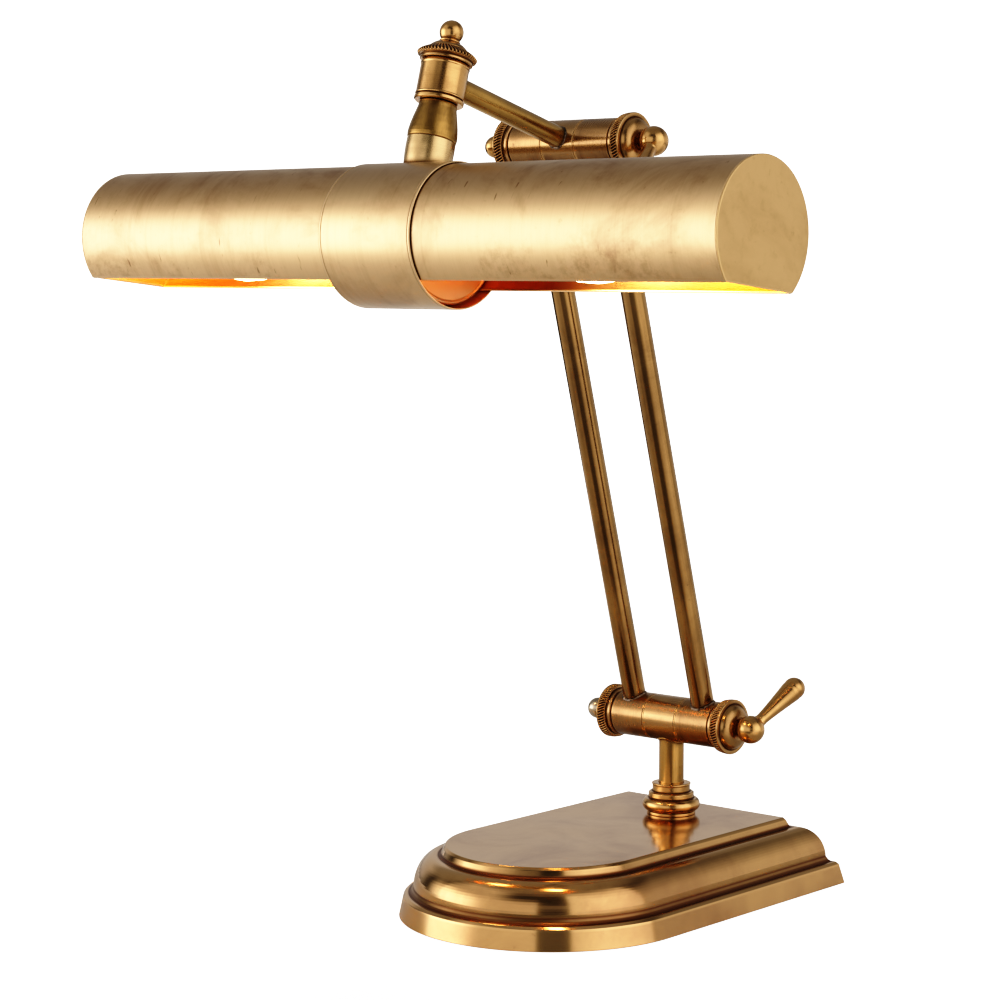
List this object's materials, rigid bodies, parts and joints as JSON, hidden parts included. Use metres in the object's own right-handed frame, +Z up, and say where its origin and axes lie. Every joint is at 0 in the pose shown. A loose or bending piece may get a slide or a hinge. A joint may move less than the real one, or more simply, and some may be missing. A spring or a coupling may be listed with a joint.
{
  "type": "banker desk lamp",
  "caption": "Brass desk lamp with a long tubular shade open below, a swivelling neck, clamped hinges on twin arms, and a D-shaped moulded base.",
  "frame": {"origin": "centre of the base's footprint, on the underside of the felt", "axes": "+Z up; +X along both hinge axes and the shade; the base's rounded end and the head point to -Y"},
  "size_m": [0.36, 0.2601, 0.3992],
  "materials": {
    "satin_brass": "brushed round the tube, antiqued, satin",
    "aged_brass": "antiqued and polished, darker in grooves",
    "bronzed_tube": "dark bronzed brass, polished along its length",
    "polished_brass": "polished antique brass",
    "cast_iron": "raw casting",
    "felt": "dense felt",
    "steel": "zinc plated",
    "black_plastic": "matt",
    "holder_plastic": "moulded, heat-resistant",
    "bulb_glass": "opal, lit",
    "lead_sleeve": "insulated wire"
  },
  "bodies": {
    "base": {"base_shell": "aged_brass", "base_weight": "cast_iron", "base_felt": "felt", "cable_gland": "black_plastic", "stem_collar": "polished_brass", "stem_tube": "polished_brass", "stem_washer": "steel", "stem_nut": "steel", "lower_centre_barrel": "aged_brass", "base_lead": "lead_sleeve"},
    "arms": {"left_arm": "bronzed_tube", "right_arm": "bronzed_tube", "arm_lead": "lead_sleeve", "lower_left_barrel": "aged_brass", "lower_right_barrel": "aged_brass", "lower_left_washer": "aged_brass", "lower_right_washer": "aged_brass", "lower_knurled_nut": "aged_brass", "lower_knurled_cap": "aged_brass", "upper_left_barrel": "aged_brass", "upper_right_barrel": "aged_brass", "upper_left_washer": "aged_brass", "upper_right_washer": "aged_brass", "upper_knurled_nut": "aged_brass", "upper_knurled_cap": "aged_brass"},
    "lower_clamp": {"lower_pivot_screw": "polished_brass", "lower_lever": "polished_brass"},
    "upper_clamp": {"upper_pivot_screw": "polished_brass", "upper_lever": "polished_brass"},
    "boom": {"upper_centre_barrel": "aged_brass", "boom_tube": "bronzed_tube", "boom_lead": "lead_sleeve", "neck_body": "polished_brass", "neck_cap": "aged_brass", "neck_finial": "polished_brass"},
    "head": {"swivel_cone": "polished_brass", "neck_collar": "satin_brass", "swivel_nipple": "steel", "swivel_lock_nut": "steel", "band_nut": "steel", "centre_band": "satin_brass", "holder_bracket": "steel", "left_bulkhead": "satin_brass", "right_bulkhead": "satin_brass", "left_bulkhead_nut": "steel", "right_bulkhead_nut": "steel", "left_holder_nut": "steel", "right_holder_nut": "steel", "left_lampholder": "holder_plastic", "right_lampholder": "holder_plastic", "left_bulb": "bulb_glass", "right_bulb": "bulb_glass", "left_holder_lead": "lead_sleeve", "right_holder_lead": "lead_sleeve"},
    "left_shade_half": {"left_shade": "satin_brass", "left_end_cap": "satin_brass"},
    "right_shade_half": {"right_shade": "satin_brass", "right_end_cap": "satin_brass"}
  },
  "joints": [
    {"name": "lower_hinge", "type": "hinge", "parent": "base", "child": "arms", "pos_m": [0, 0.0558, 0.0788], "axis": [1, 0, 0], "range_deg": [-30, 45]},
    {"name": "lower_lever_turn", "type": "hinge", "parent": "arms", "child": "lower_clamp", "pos_m": [0, 0.0558, 0.0788], "axis": [1, 0, 0], "range_deg": [0, 180]},
    {"name": "upper_hinge", "type": "hinge", "parent": "arms", "child": "boom", "pos_m": [0, -0.02032, 0.34961], "axis": [1, 0, 0], "range_deg": [-45, 50]},
    {"name": "upper_lever_turn", "type": "hinge", "parent": "arms", "child": "upper_clamp", "pos_m": [0, -0.02032, 0.34961], "axis": [1, 0, 0], "range_deg": [0, 180]},
    {"name": "head_swivel", "type": "hinge", "parent": "boom", "child": "head", "pos_m": [0, -0.10608, 0.37339], "axis": [0, 0.2672, 0.9636], "range_deg": [-40, 40]},
    {"name": "left_shade_turn", "type": "hinge", "parent": "head", "child": "left_shade_half", "pos_m": [0, -0.12426, 0.30786], "axis": [1, 0, 0], "range_deg": [-60, 60]},
    {"name": "right_shade_turn", "type": "hinge", "parent": "head", "child": "right_shade_half", "pos_m": [0, -0.12426, 0.30786], "axis": [1, 0, 0], "range_deg": [-60, 60]}
  ]
}
